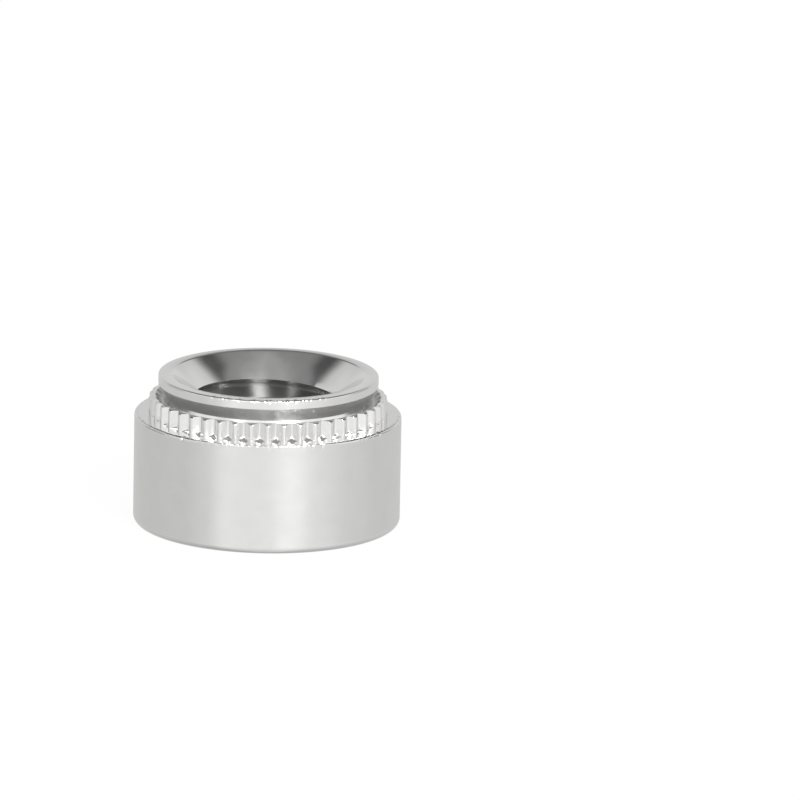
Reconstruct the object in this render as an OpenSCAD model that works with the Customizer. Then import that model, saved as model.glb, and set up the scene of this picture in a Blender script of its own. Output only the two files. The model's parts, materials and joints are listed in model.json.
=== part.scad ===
// Round self-clinching nut: one piece of plated steel, turned, knurled and tapped.
// It is pressed into a punched hole in sheet metal: the pilot centres it, the knurled
// ring bites into the sheet until the shoulder seats, and the displaced metal flows
// into the groove inside the ring and under the pilot's back taper, which holds the nut.
// It stands on its flat seat. The origin is the centre of that seat, with +Z along
// the thread towards the pilot, and all sizes are in millimetres.

/* [Body] */
// Outside diameter of the body
body_d = 12.7; // [12.2:0.1:15]
// Height of the body, from its seat to the shoulder
body_h = 5.3; // [4.5:0.1:8]
// Radius that rounds the outer edge of the seat
seat_edge_radius = 0.32; // [0.1:0.02:0.6]
// Radius that breaks the outer edge of the shoulder
shoulder_edge_radius = 0.06; // [0.04:0.02:0.2]

/* [Knurled clinch ring] */
// Diameter over the tips of the teeth
ring_d = 11.36; // [11.2:0.02:11.6]
// Height of the ring's crest above the shoulder
ring_h = 0.86; // [0.76:0.01:1]
// Width of the crest inside the groove roots, from which the ring falls away to the neck groove
crest_wall = 0.08; // [0.04:0.01:0.12]
// Chamfer on the top of the tips, at 45 degrees
tip_chamfer = 0.17; // [0.08:0.01:0.2]
// Number of teeth around the ring
tooth_count = 45; // [36:1:50]
// Radial depth of the V grooves between the teeth
groove_depth = 0.32; // [0.2:0.02:0.36]
// Width of the flat left on the tip of each tooth
tip_land = 0.14; // [0.06:0.02:0.24]
// Radius of the hollow in which each groove runs out, just above the shoulder
runout_radius = 0.36; // [0.2:0.02:0.44]
// Angle between the hollow and the groove's root, where it starts
runout_start_angle = 20; // [10:2:30]
// Angle between the hollow and the groove's root, where it meets the shoulder
runout_end_angle = 70; // [50:5:80]

/* [Pilot] */
// Diameter of the land, which centres the nut in the sheet's hole
pilot_d = 10.47; // [10.2:0.01:10.8]
// Height of the pilot's rim above the shoulder
pilot_h = 1.9; // [1.7:0.05:2.4]
// Length of the straight land below the rim
land_h = 0.42; // [0.26:0.02:0.6]
// Radius that rounds the outer edge of the rim
rim_edge_radius = 0.06; // [0.04:0.02:0.16]
// Diameter of the neck below the back taper
neck_d = 9.74; // [9.5:0.02:9.8]
// Length of the back taper, from the land down to the neck
back_taper_h = 0.63; // [0.4:0.01:0.7]
// Height of the neck groove's floor above the shoulder
neck_groove_h = 0.62; // [0.4:0.02:0.7]
// Inside diameter of the neck groove's floor
neck_groove_inner_d = 9.9; // [9.84:0.02:10]
// Outside diameter of the neck groove's floor
neck_groove_outer_d = 10.2; // [10.1:0.02:10.3]

/* [Thread] */
// Minor diameter of the M8 x 1.25 thread, at which the bore is left plain
thread_minor_d = 6.647; // [6.2:0.01:6.9]
// Diameter of the countersink at the rim
rim_countersink_d = 9.2; // [8.4:0.1:9.6]
// Diameter of the countersink at the seat
seat_countersink_d = 8.3; // [7.6:0.1:9.6]
// Included angle of both countersinks
countersink_angle = 90; // [80:1:100]

/* [Hidden] */
$fn = 180;

body_r = body_d / 2;
ring_r = ring_d / 2;
pilot_r = pilot_d / 2;
neck_r = neck_d / 2;
neck_groove_inner_r = neck_groove_inner_d / 2;
neck_groove_outer_r = neck_groove_outer_d / 2;
thread_r = thread_minor_d / 2;
rim_countersink_r = rim_countersink_d / 2;
seat_countersink_r = seat_countersink_d / 2;

// Heights above the seat
body_middle_z = body_h / 2;
neck_groove_z = body_h + neck_groove_h;
crest_z = body_h + ring_h;
rim_z = body_h + pilot_h;
land_z = rim_z - land_h;
neck_z = land_z - back_taper_h;

// Knurl: the grooves share the circle out evenly, the tips keep their flats, and one tooth points along -Y
groove_root_r = ring_r - groove_depth;
crest_inner_r = groove_root_r - crest_wall;
tooth_pitch = 360 / tooth_count;
first_root_angle = tooth_pitch / 2 - 90;
groove_half_angle = tooth_pitch / 2 - asin(tip_land / 2 / ring_r);
runout_centre_r = groove_root_r + runout_radius * cos(runout_start_angle);
runout_centre_h = runout_radius * sin(runout_end_angle);

// How far joined sections sink into each other, and cuts pass the faces that they open
ring_sink = 0.3;
runout_sink = 0.15;
cut_past = 0.5;

function polar(radius, angle) = [radius * cos(angle), radius * sin(angle)];

// Outline over the teeth, seen along the axis: a groove's root, then the two corners of the next tip
function knurl_outline() = [
    for (i = [0 : tooth_count - 1])
        let (root_angle = first_root_angle + i * tooth_pitch)
            each [
                polar(groove_root_r, root_angle),
                polar(ring_r, root_angle + groove_half_angle),
                polar(ring_r, root_angle + tooth_pitch - groove_half_angle)
            ]
];

function countersink_depth(mouth_r) = (mouth_r - thread_r) / tan(countersink_angle / 2);

// Half section of a round step on the axis, with its upper outer edge rounded
module step_section(radius, height, edge_radius) {
    square([radius, height - edge_radius]);
    square([radius - edge_radius, height]);
    translate([radius - edge_radius, height - edge_radius]) circle(edge_radius);
}

// Body with its rounded seat and broken shoulder
module body_section() {
    translate([0, body_middle_z]) {
        step_section(body_r, body_h - body_middle_z, shoulder_edge_radius);
        mirror([0, 1]) step_section(body_r, body_middle_z, seat_edge_radius);
    }
}

// Neck, back taper and land with its rounded rim
module pilot_section() {
    polygon([
        [0, body_middle_z],
        [neck_groove_inner_r, body_middle_z],
        [neck_groove_inner_r, neck_groove_z],
        [neck_r, neck_z],
        [pilot_r, land_z],
        [0, land_z]
    ]);
    translate([0, land_z]) step_section(pilot_r, land_h, rim_edge_radius);
}

// Ring blank: the neck groove's floor, a slope up to the crest, and the chamfer that the tips get
module ring_section() {
    blank_r = ring_r + cut_past;
    polygon([
        [0, body_h - ring_sink],
        [blank_r, body_h - ring_sink],
        [blank_r, crest_z - tip_chamfer - cut_past],
        [ring_r - tip_chamfer, crest_z],
        [crest_inner_r, crest_z],
        [neck_groove_outer_r, neck_groove_z],
        [0, neck_groove_z]
    ]);
}

// Hollow at the foot of the grooves, where the knurl runs out on the shoulder
module runout_section() {
    translate([0, body_h]) difference() {
        translate([0, -runout_sink]) square([runout_centre_r, runout_centre_h + runout_sink]);
        translate([runout_centre_r, runout_centre_h]) circle(runout_radius);
    }
}

module knurled_ring() {
    intersection() {
        linear_extrude(height = rim_z) polygon(knurl_outline());
        rotate_extrude() ring_section();
    }
    rotate_extrude() runout_section();
}

// Bore at the thread's minor diameter, countersunk at both ends
module thread_section() {
    flare = cut_past * tan(countersink_angle / 2);
    polygon([
        [0, -cut_past],
        [seat_countersink_r + flare, -cut_past],
        [thread_r, countersink_depth(seat_countersink_r)],
        [thread_r, rim_z - countersink_depth(rim_countersink_r)],
        [rim_countersink_r + flare, rim_z + cut_past],
        [0, rim_z + cut_past]
    ]);
}

module clinch_nut() {
    color([0.78, 0.78, 0.79])
    difference() {
        union() {
            rotate_extrude() {
                body_section();
                pilot_section();
            }
            knurled_ring();
        }
        rotate_extrude() thread_section();
    }
}

clinch_nut();
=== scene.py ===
import json
import math

import bmesh
import bpy
import numpy as np
from mathutils import Matrix, Vector


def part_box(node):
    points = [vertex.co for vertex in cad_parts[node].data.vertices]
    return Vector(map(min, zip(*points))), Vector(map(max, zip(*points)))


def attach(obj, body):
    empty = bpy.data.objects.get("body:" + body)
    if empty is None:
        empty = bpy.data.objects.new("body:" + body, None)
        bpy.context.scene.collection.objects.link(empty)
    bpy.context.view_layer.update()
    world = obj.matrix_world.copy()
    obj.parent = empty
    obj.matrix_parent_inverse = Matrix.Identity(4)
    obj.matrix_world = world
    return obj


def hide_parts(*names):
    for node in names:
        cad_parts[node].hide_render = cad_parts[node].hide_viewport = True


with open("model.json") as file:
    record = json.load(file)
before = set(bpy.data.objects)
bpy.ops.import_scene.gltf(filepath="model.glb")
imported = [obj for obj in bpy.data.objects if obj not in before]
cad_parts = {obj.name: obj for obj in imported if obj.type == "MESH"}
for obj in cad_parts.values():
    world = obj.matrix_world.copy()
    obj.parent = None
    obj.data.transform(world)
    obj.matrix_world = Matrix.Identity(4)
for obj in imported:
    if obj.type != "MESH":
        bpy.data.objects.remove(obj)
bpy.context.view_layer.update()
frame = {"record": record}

# Clinch nut: one piece of steel, turned from bar, with a knurled ring rolled round its
# shoulder, an M8 thread cut through it, and bright zinc plating all over.
# Its section is swept about Z row by row, and the thread is cut last.
mm = 0.001
nut_low, nut_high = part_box("clinch_nut")
mounts = {mount["name"]: mount for mount in frame["record"]["mounts"]}
body_r = nut_high.x
seat_z = nut_low.z
rim_z = nut_high.z
shoulder_z = mounts["shoulder"]["pos_m"][2]
pilot_r = mounts["pilot"]["dims"]["r_mm"] * mm
thread_minor_r = mounts["thread"]["dims"]["r_mm"] * mm

# Columns of the sweep: each tooth has its own set, closest together at its root and tip.
# Bearings are degrees from the front, where one tooth points along -Y, towards +X.
tooth_count = 45
tooth_pitch = 2 * math.pi / tooth_count
first_root_angle = tooth_pitch / 2 - math.pi / 2
root_to_tip_shares = [0, 0.025, 0.055, 0.1, 0.165, 0.232, 0.3, 0.375, 0.415, 0.445, 0.475]
tip_to_root_shares = [1 - share for share in reversed(root_to_tip_shares[1:])]
column_shares = np.array([*root_to_tip_shares, 0.5, *tip_to_root_shares])
tooth_of_column = np.repeat(np.arange(tooth_count), len(column_shares))
share_of_column = np.tile(column_shares, tooth_count)
angles = first_root_angle + (tooth_of_column + share_of_column) * tooth_pitch
bearings = (np.degrees(angles) + 90 + 180) % 360 - 180
column_count = len(angles)

# Teeth: V grooves with rounded roots, between tips that keep a narrow flat and wear unevenly.
ring_r = 5.68 * mm
groove_depth = 0.32 * mm
tip_land = 0.14 * mm
root_round = 0.08 * mm
tip_round = 0.05 * mm
most_tip_wear = 0.012 * mm
half_pitch = ring_r * tooth_pitch / 2
flank_run = half_pitch - tip_land / 2
flank_slope = groove_depth / (math.hypot(flank_run, root_round) - root_round)
from_root = half_pitch * (1 - np.abs(2 * share_of_column - 1))
flank = groove_depth - flank_slope * (np.hypot(from_root, root_round) - root_round)
tooth_cut = (flank + np.hypot(flank, tip_round)) / 2
tooth_height = 1 - tooth_cut / groove_depth
knurl_rng = np.random.default_rng(8)
tip_wear = knurl_rng.uniform(0, most_tip_wear, tooth_count)[tooth_of_column]
tooth_r = ring_r - tooth_cut - tip_wear * tooth_height

# Rows of the sweep, from the bore's lower end out over the seat, up the outside and back down the bore.
# Each arc has a row close to either end of it, so that the faces beside it stay flat to the eye.
drawn, turned, knurled, recessed, tapped = range(5)
edge_hold = 0.02 * mm
rows = []


def add_row(radius, height, finish=turned):
    """One ring of the sweep; finish is that of the strip from this ring to the next."""
    ring_radius = np.broadcast_to(radius, (column_count,))
    ring_height = np.broadcast_to(height, (column_count,))
    rows.append((ring_radius, ring_height, finish))


def add_arc(centre_r, centre_z, radius, start_deg, end_deg, steps, finish_after=turned):
    """Rings along an arc of the section, measured from the outward radius towards +Z."""
    start_turn = math.radians(start_deg)
    end_turn = math.radians(end_deg)
    start_r = centre_r + radius * math.cos(start_turn)
    start_z = centre_z + radius * math.sin(start_turn)
    add_row(start_r + edge_hold * math.sin(start_turn), start_z - edge_hold * math.cos(start_turn))
    for turn in np.linspace(start_turn, end_turn, steps + 1):
        add_row(centre_r + radius * math.cos(turn), centre_z + radius * math.sin(turn))
    end_r = centre_r + radius * math.cos(end_turn)
    end_z = centre_z + radius * math.sin(end_turn)
    add_row(end_r - edge_hold * math.sin(end_turn), end_z + edge_hold * math.cos(end_turn), finish_after)


# Seat: flat, with a countersink into the bore and a rounded outer edge.
seat_countersink_r = 4.15 * mm
seat_mouth_round = 0.04 * mm
seat_edge_round = 0.32 * mm
add_row(thread_minor_r, seat_z + seat_countersink_r - thread_minor_r)
add_row(seat_countersink_r - seat_mouth_round, seat_z + seat_mouth_round)
add_row(seat_countersink_r + seat_mouth_round, seat_z)
add_arc(body_r - seat_edge_round, seat_z + seat_edge_round, seat_edge_round, -90, 0, 8, drawn)


# Body and shoulder: the edge between them is sharper in front than at the sides, dented and nicked.
# Two rows on either side of the worn edge keep its dents out of the faces beside it.
def edge_wear(depth, seed):
    """Small dents along an edge, as a depth for each column: they lie where many waves add up."""
    wave_count = 24
    fewest_crests, most_crests = 40, 220
    full_dent = wave_count / 4
    wear_rng = np.random.default_rng(seed)
    crests_round = wear_rng.integers(fewest_crests, most_crests, wave_count)
    wave_turns = wear_rng.uniform(0, 2 * math.pi, wave_count)
    ripple = np.cos(np.outer(angles, crests_round) + wave_turns).sum(axis=1)
    return depth * np.clip(ripple / full_dent, 0, 1)


def edge_nicks(nick_bearings, depth, half_width):
    """Nicks in an edge at the given bearings, as a depth for each column."""
    nicks = np.zeros(column_count)
    for nick_bearing in nick_bearings:
        nick_share = np.clip(1 - np.abs(bearings - nick_bearing) / half_width, 0, 1)
        nicks = np.maximum(nicks, depth * nick_share)
    return nicks


front_edge_round = 0.05 * mm
side_edge_round = 0.14 * mm
front_edge_end = 24
side_edge_start = 38
shoulder_dents = 0.01 * mm
shoulder_nicks = [-39.6, 1.5, 24, 57]
nick_depth = 0.04 * mm
nick_half_width = 0.9
near_hold = 0.23 * mm
far_hold = 0.26 * mm
side_share = np.clip((np.abs(bearings) - front_edge_end) / (side_edge_start - front_edge_end), 0, 1)
shoulder_edge_round = front_edge_round + (side_edge_round - front_edge_round) * side_share
shoulder_nick_depths = edge_nicks(shoulder_nicks, nick_depth, nick_half_width)
shoulder_wear = np.maximum(edge_wear(shoulder_dents, 4), shoulder_nick_depths)
shoulder_inset = shoulder_edge_round + shoulder_wear
add_row(body_r, shoulder_z - far_hold, drawn)
add_row(body_r, shoulder_z - near_hold, drawn)
add_arc(body_r - shoulder_inset, shoulder_z - shoulder_inset, shoulder_edge_round, 0, 90, 5)
add_row(body_r - near_hold, shoulder_z)
add_row(body_r - far_hold, shoulder_z)

# Groove run-out: a hollow from the shoulder to each groove's root, which blends softly into the flanks.
groove_root_r = ring_r - groove_depth
runout_r = 0.36 * mm
runout_start = math.radians(20)
runout_end = math.radians(70)
runout_blend = 0.05 * mm
foot_outer_hold = 0.08 * mm
foot_inner_hold = 0.05 * mm
runout_row_degs = (70, 60, 51, 43, 36, 30, 25, 20, 15, 10, 5, 0)
runout_centre_r = groove_root_r + runout_r * math.cos(runout_start)
runout_centre_z = shoulder_z + runout_r * math.sin(runout_end)
runout_foot_r = runout_centre_r - runout_r * math.cos(runout_end)
add_row(ring_r + foot_outer_hold, shoulder_z, knurled)
add_row(np.maximum(tooth_r, runout_foot_r) + foot_inner_hold, shoulder_z, knurled)
for runout_deg in runout_row_degs:
    runout_turn = math.radians(runout_deg)
    hollow_r = runout_centre_r - runout_r * math.cos(runout_turn)
    hollow_z = runout_centre_z - runout_r * math.sin(runout_turn)
    blend = np.clip(runout_blend - np.abs(tooth_r - hollow_r), 0, None) / runout_blend
    add_row(np.maximum(tooth_r, hollow_r) + blend**2 * runout_blend / 4, hollow_z, knurled)

# Tooth walls and the ring's crest, whose rounded outer edge takes the corners off the tips.
# Each of its rows lies a share of the way in from the wall, and lower by a share of the least edge.
crest_z = shoulder_z + 0.86 * mm
crest_inner_r = 5.36 * mm
crest_round = 0.18 * mm
least_edge = 0.02 * mm
most_top_wear = 0.008 * mm
crest_edge_rows = [(0, 1), (0.02, 0.4), (0.07, 0.1), (0.2, 0), (0.42, 0), (0.7, 0), (1, 0)]
crest_round_r = ring_r - crest_round
tooth_top_wear = knurl_rng.uniform(0, most_top_wear, tooth_count)[tooth_of_column]
tooth_top_r = np.minimum(tooth_r, crest_round_r) - least_edge
tooth_top_z = crest_z - tooth_top_wear * tooth_height
for share_in, share_down in crest_edge_rows:
    edge_r = tooth_r - share_in * (tooth_r - tooth_top_r)
    past_centre = np.clip(edge_r - crest_round_r, 0, crest_round)
    edge_drop = crest_round - np.sqrt(crest_round**2 - past_centre**2)
    add_row(edge_r, tooth_top_z - edge_drop - share_down * least_edge, knurled)

# Neck groove, back taper and land: sheet metal flows over the ring into the groove and under the taper.
neck_r = 4.87 * mm
neck_z = shoulder_z + 0.85 * mm
neck_groove_z = shoulder_z + 0.62 * mm
neck_groove_inner_r = 4.93 * mm
neck_groove_outer_r = 5.1 * mm
land_z = shoulder_z + 1.48 * mm
small_edge = 0.02 * mm
taper_slope = 0.6
add_row(np.minimum(crest_inner_r + small_edge, tooth_top_r - edge_hold), tooth_top_z)
add_row(np.minimum(crest_inner_r, tooth_top_r - 2 * edge_hold), crest_z - small_edge, recessed)
add_row(neck_groove_outer_r + small_edge, neck_groove_z + small_edge, recessed)
add_row(neck_groove_outer_r, neck_groove_z, recessed)
add_row(neck_groove_inner_r + small_edge, neck_groove_z, recessed)
add_row(neck_groove_inner_r, neck_groove_z + small_edge)
add_row(neck_r, neck_z, recessed)
add_row(pilot_r - small_edge * taper_slope, land_z - small_edge)
add_row(pilot_r, land_z)

# Rim: an outer edge that is dented in front, a flat, and a countersink into the bore. The countersink's
# wall swells a little, and its foot is worn where the thread starts.
rim_edge_round = 0.08 * mm
rim_dents = 0.02 * mm
rim_dents_full = 30
rim_dents_end = 42
rim_near_hold = 0.14 * mm
rim_far_hold = 0.17 * mm
rim_flat_hold = 0.16 * mm
rim_countersink_r = 4.6 * mm
rim_mouth_round = 0.03 * mm
mouth_upper_drop = 0.4 * rim_mouth_round
mouth_lower_drop = 1.2 * rim_mouth_round
countersink_swell = 0.047 * mm
countersink_row_shares = (0.2, 0.4, 0.6, 0.8, 0.96)
foot_dents = 0.012 * mm
foot_break = 0.012 * mm
foot_land = 0.06 * mm
dented_share = np.clip((rim_dents_end - np.abs(bearings)) / (rim_dents_end - rim_dents_full), 0, 1)
rim_inset = rim_edge_round + edge_wear(rim_dents, 5) * dented_share
add_row(pilot_r, rim_z - rim_far_hold)
add_row(pilot_r, rim_z - rim_near_hold)
add_arc(pilot_r - rim_inset, rim_z - rim_inset, rim_edge_round, 0, 90, 5)
add_row(pilot_r - rim_flat_hold, rim_z)
add_row(rim_countersink_r + rim_mouth_round, rim_z)
add_row(rim_countersink_r, rim_z - mouth_upper_drop)
add_row(rim_countersink_r - rim_mouth_round, rim_z - mouth_lower_drop)
countersink_run = rim_countersink_r - thread_minor_r
for share in countersink_row_shares:
    swell = countersink_swell * 4 * share * (1 - share) / math.sqrt(2)
    add_row(rim_countersink_r - countersink_run * share - swell, rim_z - countersink_run * share + swell)
foot_z = rim_z - countersink_run
add_row(thread_minor_r + foot_break + edge_wear(foot_dents, 6), foot_z - foot_break)
add_row(thread_minor_r, foot_z - foot_land, tapped)

# The rows joined up: one point for each row and column, and one strip of faces after each row.
row_count = len(rows)
ring_points = []
for ring_radius, ring_height, finish in rows:
    ring_x = ring_radius * np.cos(angles)
    ring_y = ring_radius * np.sin(angles)
    ring_points.append(np.column_stack([ring_x, ring_y, ring_height]))
nut_points = np.concatenate(ring_points)
nut_faces = []
face_finishes = []
for row in range(row_count):
    start = row * column_count
    above = (row + 1) % row_count * column_count
    for column in range(column_count):
        beside = (column + 1) % column_count
        nut_faces.append((start + column, start + beside, above + beside, above + column))
        face_finishes.append(rows[row][2])
nut_mesh = bpy.data.meshes.new("clinch_nut_plated")
nut_mesh.from_pydata(nut_points.tolist(), [], nut_faces)
nut = bpy.data.objects.new("clinch_nut_plated", nut_mesh)
bpy.context.scene.collection.objects.link(nut)

# M8 x 1.25 thread: a tap's form swept along a right-hand helix, from below the seat up to the countersink,
# where it fades out over half a turn. The helix starts at +X, and passes the back at a chosen depth.
thread_pitch = 1.25 * mm
thread_major_r = 4.0 * mm
crest_break = 0.004 * mm
root_flat = thread_pitch / 8
flank_tan = math.tan(math.radians(30))
tap_clearance = 0.12 * mm
tap_inner_r = thread_minor_r - tap_clearance
tap_inner_half = 0.46 * thread_pitch
tap_mouth_half = 0.4 * thread_pitch
tap_steps_per_turn = 180
tap_turns = 5.7
turns_to_back = 5.25
back_groove_depth = 1.52 * mm
tap_start_z = rim_z - back_groove_depth - turns_to_back * thread_pitch
fade_turns = 0.5
least_fade = 0.05
flank_inner_r = thread_minor_r + crest_break
flank_outer_r = thread_major_r - crest_break
half_form = [
    (tap_inner_r, tap_inner_half),
    (thread_minor_r, tap_mouth_half),
    (flank_inner_r, root_flat / 2 + (thread_major_r - flank_inner_r) * flank_tan),
    (flank_outer_r, root_flat / 2 + crest_break * flank_tan),
    (thread_major_r, root_flat / 4),
]
tap_form = [(r, -half) for r, half in half_form] + [(r, half) for r, half in reversed(half_form)]
tap_points = []
tap_faces = []
tap_steps = round(tap_turns * tap_steps_per_turn)
form_count = len(tap_form)
for step in range(tap_steps + 1):
    turn = 2 * math.pi * step / tap_steps_per_turn
    lift = tap_start_z + thread_pitch * step / tap_steps_per_turn
    fade = min(1, least_fade + (tap_steps - step) / tap_steps_per_turn / fade_turns)
    for form_r, form_z in tap_form:
        cut_r = tap_inner_r + (form_r - tap_inner_r) * fade
        tap_points.append((cut_r * math.cos(turn), cut_r * math.sin(turn), lift + form_z))
for step in range(tap_steps):
    start = step * form_count
    after = start + form_count
    for corner in range(form_count):
        beside = (corner + 1) % form_count
        tap_faces.append((start + corner, start + beside, after + beside, after + corner))
tap_faces.append(tuple(range(form_count)))
tap_faces.append(tuple(range(tap_steps * form_count, (tap_steps + 1) * form_count)))
tap_mesh = bpy.data.meshes.new("tap")
tap_mesh.from_pydata(tap_points, [], tap_faces)
tap = bpy.data.objects.new("tap", tap_mesh)
bpy.context.scene.collection.objects.link(tap)
for mesh in (nut_mesh, tap_mesh):
    outward = bmesh.new()
    outward.from_mesh(mesh)
    bmesh.ops.recalc_face_normals(outward, faces=outward.faces)
    outward.to_mesh(mesh)
    outward.free()


# Plating: bright zinc over turned steel. The tool's fine rings run round the axis on every face,
# so reflections spread across them, and the plating adds a faint cloudiness.
def plating(name, base_grey, roughness, spread, ring_depth, cloud_depth):
    """A plated finish: roughness is its range, and spread how far reflections stretch across the rings."""
    ring_spacing = 0.07 * mm
    cloud_size = 0.9 * mm
    thin_cloud, thick_cloud = 0.3, 0.7
    cloud_shade = 0.96
    thin_tint = (1, 0.995, 0.985)
    thick_tint = (1, 0.998, 0.992)
    across_rings = 0.25
    material = bpy.data.materials.new(name)
    material.use_nodes = True
    tree = material.node_tree
    shader = tree.nodes["Principled BSDF"]
    shader.inputs["Metallic"].default_value = 1.0
    shader.inputs["Anisotropic"].default_value = spread
    shader.inputs["Anisotropic Rotation"].default_value = across_rings
    around = tree.nodes.new("ShaderNodeTangent")
    around.direction_type = "RADIAL"
    around.axis = "Z"
    tree.links.new(around.outputs["Tangent"], shader.inputs["Tangent"])

    place = tree.nodes.new("ShaderNodeTexCoord")
    split = tree.nodes.new("ShaderNodeSeparateXYZ")
    tree.links.new(place.outputs["Object"], split.inputs["Vector"])
    across = tree.nodes.new("ShaderNodeCombineXYZ")
    tree.links.new(split.outputs["X"], across.inputs["X"])
    tree.links.new(split.outputs["Y"], across.inputs["Y"])
    radius = tree.nodes.new("ShaderNodeVectorMath")
    radius.operation = "LENGTH"
    tree.links.new(across.outputs["Vector"], radius.inputs[0])
    section = tree.nodes.new("ShaderNodeCombineXYZ")
    tree.links.new(radius.outputs["Value"], section.inputs["X"])
    tree.links.new(split.outputs["Z"], section.inputs["Y"])
    rings = tree.nodes.new("ShaderNodeTexNoise")
    rings.inputs["Scale"].default_value = 1 / ring_spacing
    rings.inputs["Detail"].default_value = 2.0
    tree.links.new(section.outputs["Vector"], rings.inputs["Vector"])

    clouds = tree.nodes.new("ShaderNodeTexNoise")
    clouds.inputs["Scale"].default_value = 1 / cloud_size
    clouds.inputs["Detail"].default_value = 4.0
    clouds.inputs["Roughness"].default_value = 0.62
    tree.links.new(place.outputs["Object"], clouds.inputs["Vector"])

    tone = tree.nodes.new("ShaderNodeValToRGB")
    darker = base_grey * cloud_shade
    tone.color_ramp.elements[0].position = thin_cloud
    tone.color_ramp.elements[0].color = (*(darker * tint for tint in thin_tint), 1)
    tone.color_ramp.elements[1].position = thick_cloud
    tone.color_ramp.elements[1].color = (*(base_grey * tint for tint in thick_tint), 1)
    tree.links.new(clouds.outputs["Fac"], tone.inputs["Fac"])
    tree.links.new(tone.outputs["Color"], shader.inputs["Base Color"])

    polish = tree.nodes.new("ShaderNodeMapRange")
    polish.inputs["From Min"].default_value = thin_cloud
    polish.inputs["From Max"].default_value = thick_cloud
    polish.inputs["To Min"].default_value = roughness[0]
    polish.inputs["To Max"].default_value = roughness[1]
    tree.links.new(clouds.outputs["Fac"], polish.inputs["Value"])
    tree.links.new(polish.outputs["Result"], shader.inputs["Roughness"])

    ring_bump = tree.nodes.new("ShaderNodeBump")
    ring_bump.inputs["Distance"].default_value = ring_depth
    tree.links.new(rings.outputs["Fac"], ring_bump.inputs["Height"])
    cloud_bump = tree.nodes.new("ShaderNodeBump")
    cloud_bump.inputs["Distance"].default_value = cloud_depth
    tree.links.new(clouds.outputs["Fac"], cloud_bump.inputs["Height"])
    tree.links.new(ring_bump.outputs["Normal"], cloud_bump.inputs["Normal"])
    tree.links.new(cloud_bump.outputs["Normal"], shader.inputs["Normal"])
    return material


# The finishes stand in the order of their numbers: the drawn bar, turned faces, the rolled knurl,
# the recess behind the ring and the tapped bore, each with its own polish. The recess and the bore
# also have a darker grey than the rest, which is painted shade.
micron = 1e-6
finishes = [
    plating("drawn_plating", base_grey=0.78, roughness=(0.2, 0.24), spread=0.7,
            ring_depth=0.2 * micron, cloud_depth=0.15 * micron),
    plating("turned_plating", base_grey=0.82, roughness=(0.13, 0.18), spread=0.5,
            ring_depth=0.2 * micron, cloud_depth=0.6 * micron),
    plating("knurled_plating", base_grey=0.82, roughness=(0.13, 0.19), spread=0.0,
            ring_depth=0.1 * micron, cloud_depth=0.25 * micron),
    # The recess's darker grey is painted shade under the taper and over the groove.
    plating("recessed_plating_painted_shade", base_grey=0.61, roughness=(0.34, 0.4), spread=0.4,
            ring_depth=0.3 * micron, cloud_depth=0.4 * micron),
    # The bore's very dark grey is painted shade inside the thread. Its bright bands come from the lamps.
    plating("tapped_plating_painted_shade", base_grey=0.34, roughness=(0.3, 0.38), spread=1.0,
            ring_depth=0.8 * micron, cloud_depth=0.3 * micron),
]
for finish in finishes:
    nut_mesh.materials.append(finish)
    tap_mesh.materials.append(finish)
nut_mesh.polygons.foreach_set("material_index", face_finishes)
tap_mesh.polygons.foreach_set("material_index", [tapped] * len(tap_mesh.polygons))

# The thread is cut here, and the finished nut rides on the part's only body.
threading = nut.modifiers.new("threading", "BOOLEAN")
threading.operation = "DIFFERENCE"
threading.solver = "EXACT"
threading.object = tap
bpy.context.view_layer.update()
threaded = bpy.data.meshes.new_from_object(nut.evaluated_get(bpy.context.evaluated_depsgraph_get()))
nut.modifiers.clear()
nut.data = threaded
bpy.data.objects.remove(tap)
sharp_edge_deg = 30
threaded.shade_smooth()
threaded.set_sharp_from_angle(angle=math.radians(sharp_edge_deg))
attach(nut, "root")
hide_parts("clinch_nut")

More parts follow.
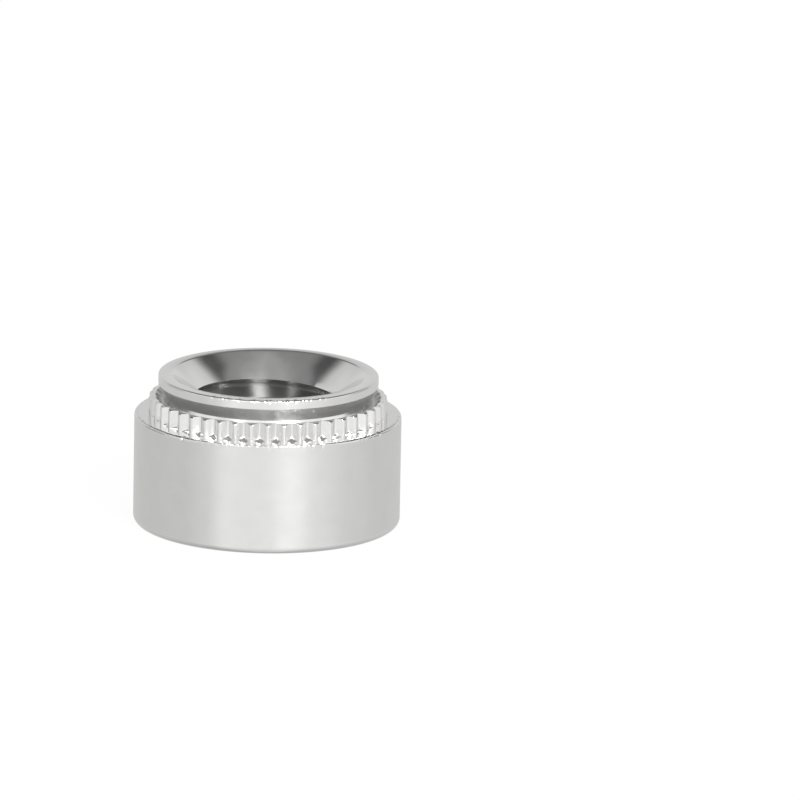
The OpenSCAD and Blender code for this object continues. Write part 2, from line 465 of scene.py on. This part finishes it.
# Floor: a plain white sheet just under the nut's seat, wide enough to fill the picture. It shows white
# and keeps the nut's shadow. Reflections show the studio's pale lower half in its place, and the patch of
# the sheet inside the bore is apart from it, so that it lies in the nut's own shade.
floor_half = 1.5
floor_z = -2 * micron
floor_glow = 0.96
sheet_white = (0.92, 0.92, 0.92, 1)
patch_r = seat_countersink_r - seat_mouth_round
patch_steps = 48
patch_turns = np.linspace(0, 2 * math.pi, patch_steps, endpoint=False)
floor_outline = [(-floor_half, -floor_half, floor_z), (floor_half, -floor_half, floor_z),
                 (floor_half, floor_half, floor_z), (-floor_half, floor_half, floor_z)]
patch_outline = [(patch_r * math.cos(turn), patch_r * math.sin(turn), 0) for turn in patch_turns]
for sheet_name, outline in (("floor", floor_outline), ("bore_floor", patch_outline)):
    sheet_mesh = bpy.data.meshes.new(sheet_name)
    sheet_mesh.from_pydata(outline, [], [tuple(range(len(outline)))])
    sheet = bpy.data.objects.new(sheet_name, sheet_mesh)
    bpy.context.scene.collection.objects.link(sheet)
    sheet_material = bpy.data.materials.new(sheet_name + "_sheet")
    sheet_material.use_nodes = True
    sheet_tree = sheet_material.node_tree
    sheet_tree.nodes.remove(sheet_tree.nodes["Principled BSDF"])
    sheet_output = sheet_tree.nodes["Material Output"]
    sheet_diffuse = sheet_tree.nodes.new("ShaderNodeBsdfDiffuse")
    sheet_diffuse.inputs["Color"].default_value = sheet_white
    sheet_tree.links.new(sheet_diffuse.outputs["BSDF"], sheet_output.inputs["Surface"])
    sheet_mesh.materials.append(sheet_material)
    if sheet_name == "floor":
        sheet.visible_glossy = False
        sheet.visible_shadow = False
        sheet_glow = sheet_tree.nodes.new("ShaderNodeEmission")
        sheet_glow.inputs["Strength"].default_value = 1.0
        seen_rays = sheet_tree.nodes.new("ShaderNodeLightPath")
        glow_share = sheet_tree.nodes.new("ShaderNodeMath")
        glow_share.operation = "MULTIPLY"
        glow_share.inputs[1].default_value = floor_glow
        sheet_tree.links.new(seen_rays.outputs["Is Camera Ray"], glow_share.inputs[0])
        sheet_mix = sheet_tree.nodes.new("ShaderNodeMixShader")
        sheet_tree.links.new(glow_share.outputs["Value"], sheet_mix.inputs["Fac"])
        sheet_tree.links.new(sheet_diffuse.outputs["BSDF"], sheet_mix.inputs[1])
        sheet_tree.links.new(sheet_glow.outputs["Emission"], sheet_mix.inputs[2])
        sheet_tree.links.new(sheet_mix.outputs["Shader"], sheet_output.inputs["Surface"])

# Studio: pale all round the nut and brightest in front of it, with walls that are lower behind it, a dark
# gap above them, lighter in front, and a dim panel overhead. A low dark card stands on either side.
# Its tone is that of the compass direction times that of the height, less the cards' shade.
world = bpy.data.worlds.new("studio")
bpy.context.scene.world = world
world.use_nodes = True
studio_tree = world.node_tree
studio_light = studio_tree.nodes["Background"]
studio_place = studio_tree.nodes.new("ShaderNodeTexCoord")
studio_split = studio_tree.nodes.new("ShaderNodeSeparateXYZ")
studio_tree.links.new(studio_place.outputs["Generated"], studio_split.inputs["Vector"])
towards_front = studio_tree.nodes.new("ShaderNodeMath")
towards_front.operation = "MULTIPLY"
towards_front.inputs[1].default_value = -1
studio_tree.links.new(studio_split.outputs["Y"], towards_front.inputs[0])
compass = studio_tree.nodes.new("ShaderNodeMath")
compass.operation = "ARCTAN2"
studio_tree.links.new(studio_split.outputs["X"], compass.inputs[0])
studio_tree.links.new(towards_front.outputs["Value"], compass.inputs[1])


def studio_ramp(value, low, high, tones):
    """A grey ramp in the studio's light: tones are pairs of a value between low and high and its grey."""
    share = studio_tree.nodes.new("ShaderNodeMapRange")
    share.inputs["From Min"].default_value = low
    share.inputs["From Max"].default_value = high
    studio_tree.links.new(value, share.inputs["Value"])
    ramp = studio_tree.nodes.new("ShaderNodeValToRGB")
    ramp.color_ramp.interpolation = "EASE"
    while len(ramp.color_ramp.elements) < len(tones):
        ramp.color_ramp.elements.new(0.5)
    for stop, (at_value, grey) in zip(ramp.color_ramp.elements, tones):
        stop.position = (at_value - low) / (high - low)
        stop.color = (grey, grey, grey, 1)
    studio_tree.links.new(share.outputs["Result"], ramp.inputs["Fac"])
    return ramp.outputs["Color"]


def compass_ramp(tones):
    """A grey for each compass direction: tones are pairs of a bearing in degrees and its grey."""
    turn_tones = [(math.radians(bearing_deg), grey) for bearing_deg, grey in tones]
    return studio_ramp(compass.outputs["Value"], -math.pi, math.pi, turn_tones)


def studio_join(operation, first, second):
    """Two greys of the studio's light, joined into one."""
    join = studio_tree.nodes.new("ShaderNodeVectorMath")
    join.operation = operation
    studio_tree.links.new(first, join.inputs[0])
    studio_tree.links.new(second, join.inputs[1])
    return join.outputs["Vector"]


compass_tones = [(-180, 0.64), (-75, 0.70), (-57, 0.78), (-36, 1.0), (-5, 0.98), (22, 1.09), (45, 0.92),
                 (80, 0.78), (110, 0.72), (180, 0.64)]
height_tones = [(-1.0, 0.7), (-0.45, 0.9), (-0.25, 1.0), (0.12, 1.0), (0.24, 1.12), (0.4, 1.12),
                (0.58, 1.0), (0.74, 0.12), (0.8, 0.12), (0.9, 0.36)]
wall_drops = [(-180, 0.2), (-152, 0.2), (-138, 0), (138, 0), (152, 0.2), (180, 0.2)]
front_gap_tones = [(-180, 0), (-108, 0), (-88, 0.38), (88, 0.38), (108, 0), (180, 0)]
card_sides = [(-180, 0), (-134, 0), (-125, 0.7), (-102, 0.7), (-95, 0),
              (95, 0), (102, 0.7), (125, 0.7), (134, 0), (180, 0)]
card_heights = [(-1, 0), (-0.02, 0), (0.03, 1), (0.24, 1), (0.32, 0), (1, 0)]
wall_height = studio_tree.nodes.new("ShaderNodeMath")
wall_height.operation = "ADD"
studio_tree.links.new(studio_split.outputs["Z"], wall_height.inputs[0])
studio_tree.links.new(compass_ramp(wall_drops), wall_height.inputs[1])
height_light = studio_ramp(wall_height.outputs["Value"], -1, 1, height_tones)
upright_light = studio_join("MAXIMUM", height_light, compass_ramp(front_gap_tones))
studio_walls = studio_join("MULTIPLY", compass_ramp(compass_tones), upright_light)
card_height = studio_ramp(studio_split.outputs["Z"], -1, 1, card_heights)
beside_cards = studio_tree.nodes.new("ShaderNodeVectorMath")
beside_cards.operation = "SUBTRACT"
beside_cards.inputs[0].default_value = (1, 1, 1)
card_shade = studio_join("MULTIPLY", compass_ramp(card_sides), card_height)
studio_tree.links.new(card_shade, beside_cards.inputs[1])
shaded_walls = studio_join("MULTIPLY", studio_walls, beside_cards.outputs["Vector"])
studio_tree.links.new(shaded_walls, studio_light.inputs["Color"])

# Soft lamps: a broad one and a narrow strip in front, which light up the thread in two bands and glint
# on worn edges, a faint one on each side, and one overhead that stays out of reflections, where the
# ceiling is dim. Each has its bearing and height in degrees, its distance and size in metres, its power
# in watts, and whether it shows in reflections.
lamps = [
    ("front_lamp", 23, 38, 1.2, (0.36, 0.5), 12, True),
    ("front_strip", -34, 38, 1.2, (0.06, 0.5), 2.6, True),
    ("left_lamp", -75, 25, 1.4, (0.7, 0.6), 0.25, True),
    ("right_lamp", 80, 25, 1.4, (0.7, 0.6), 0.25, True),
    ("overhead_lamp", 0, 88, 1.4, (1.2, 1.2), 4.4, False),
]
for lamp_name, lamp_bearing, lamp_height, lamp_distance, lamp_size, lamp_watts, in_reflections in lamps:
    lamp_data = bpy.data.lights.new(lamp_name, "AREA")
    lamp_data.shape = "RECTANGLE"
    lamp_data.size, lamp_data.size_y = lamp_size
    lamp_data.energy = lamp_watts
    lamp = bpy.data.objects.new(lamp_name, lamp_data)
    bpy.context.scene.collection.objects.link(lamp)
    lamp.visible_glossy = in_reflections
    turn = math.radians(lamp_bearing)
    rise = math.radians(lamp_height)
    towards = Vector((math.sin(turn) * math.cos(rise), -math.cos(turn) * math.cos(rise), math.sin(rise)))
    lamp.location = towards * lamp_distance
    lamp.rotation_euler = towards.to_track_quat("Z", "Y").to_euler()

# Camera: a long lens, low in front of the nut, which stands left of and below the picture's middle.
# It is aimed at the centre of the seat, and then turned until that point lies at its place in the picture.
picture_px = 800
sensor_mm = 36
camera_distance = 0.6
camera_elevation = math.radians(14.798)
camera_roll = math.radians(0.913)
px_per_mm = 20.989
seat_px = (266.28, 520.59)
focal_px = px_per_mm * camera_distance / mm
level_right = Vector((1, 0, 0))
level_up = Vector((0, math.sin(camera_elevation), math.cos(camera_elevation)))
forward = Vector((0, math.cos(camera_elevation), -math.sin(camera_elevation)))
right = level_right * math.cos(camera_roll) + level_up * math.sin(camera_roll)
up = level_up * math.cos(camera_roll) - level_right * math.sin(camera_roll)
aimed_at_seat = Matrix((right, up, forward))
middle_px = picture_px / 2
seat_right = (seat_px[0] - middle_px) / focal_px
seat_up = (middle_px - seat_px[1]) / focal_px
seat_ray = Vector((seat_right, seat_up, 1)).normalized()
turn_to_middle = Vector((0, 0, 1)).rotation_difference(seat_ray).to_matrix()
camera_axes = turn_to_middle @ aimed_at_seat
camera_data = bpy.data.cameras.new("camera")
camera_data.sensor_width = sensor_mm
camera_data.lens = sensor_mm * focal_px / picture_px
camera_data.clip_start = 0.01
camera_data.clip_end = 10
camera = bpy.data.objects.new("camera", camera_data)
bpy.context.scene.collection.objects.link(camera)
camera_turn = Matrix((camera_axes[0], camera_axes[1], -camera_axes[2])).transposed()
camera.matrix_world = Matrix.Translation(-forward * camera_distance) @ camera_turn.to_4x4()
bpy.context.scene.camera = camera
bpy.context.scene.view_settings.view_transform = "Standard"
